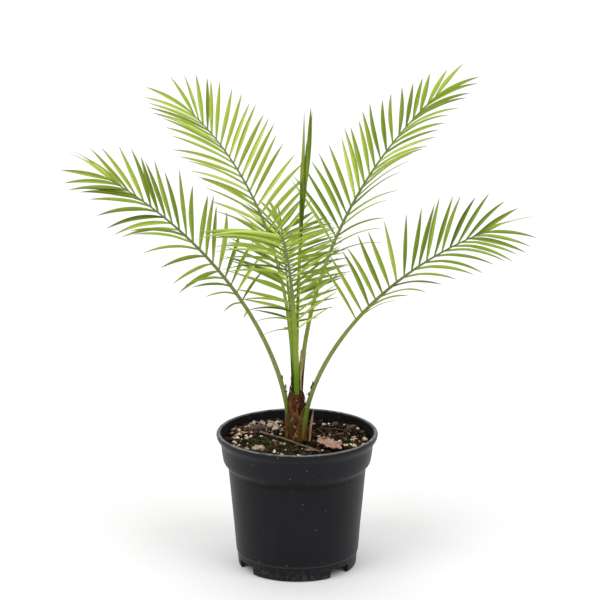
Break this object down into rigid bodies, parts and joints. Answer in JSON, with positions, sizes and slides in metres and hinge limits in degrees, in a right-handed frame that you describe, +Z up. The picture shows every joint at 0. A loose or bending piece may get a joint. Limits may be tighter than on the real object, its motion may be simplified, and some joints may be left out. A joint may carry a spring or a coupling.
{
  "type": "potted pygmy date palm",
  "caption": "Young feather-leaved plant in a round tapered nursery pot: short fibrous trunk, arching fronds, an unopened spear leaf and loose bits on the potting mix.",
  "frame": {"origin": "on the pot's axis, in the plane of the foot ring's underside, where the plant stands", "axes": "+Z up along the pot's axis; -Y is the side turned to the viewer, with one frond arching towards it; +X is to the viewer's right"},
  "size_m": [0.4198, 0.4175, 0.4581],
  "materials": {
    "pot": "black moulded plastic, slightly satin, dusty",
    "mix": "dark damp peat and bark mix with pale grains",
    "fibre": "matted brown leaf-base fibre",
    "leaf": "leathery yellow-green, softly glossy",
    "dead_leaf": "dry, papery, pinkish brown",
    "bark": "rough bark"
  },
  "bodies": {
    "root": {"pot": "pot", "soil": "mix", "trunk": "fibre", "spear_leaf": "leaf", "frond_left_low": "leaf", "frond_right_low": "leaf", "frond_left_high": "leaf", "frond_right_high": "leaf", "frond_front": "leaf", "frond_back": "leaf", "dry_sheath": "dead_leaf", "twig": "bark", "dead_leaflet": "dead_leaf", "bark_chip_1": "bark", "bark_chip_2": "bark", "bark_chip_3": "bark"}
  },
  "joints": []
}
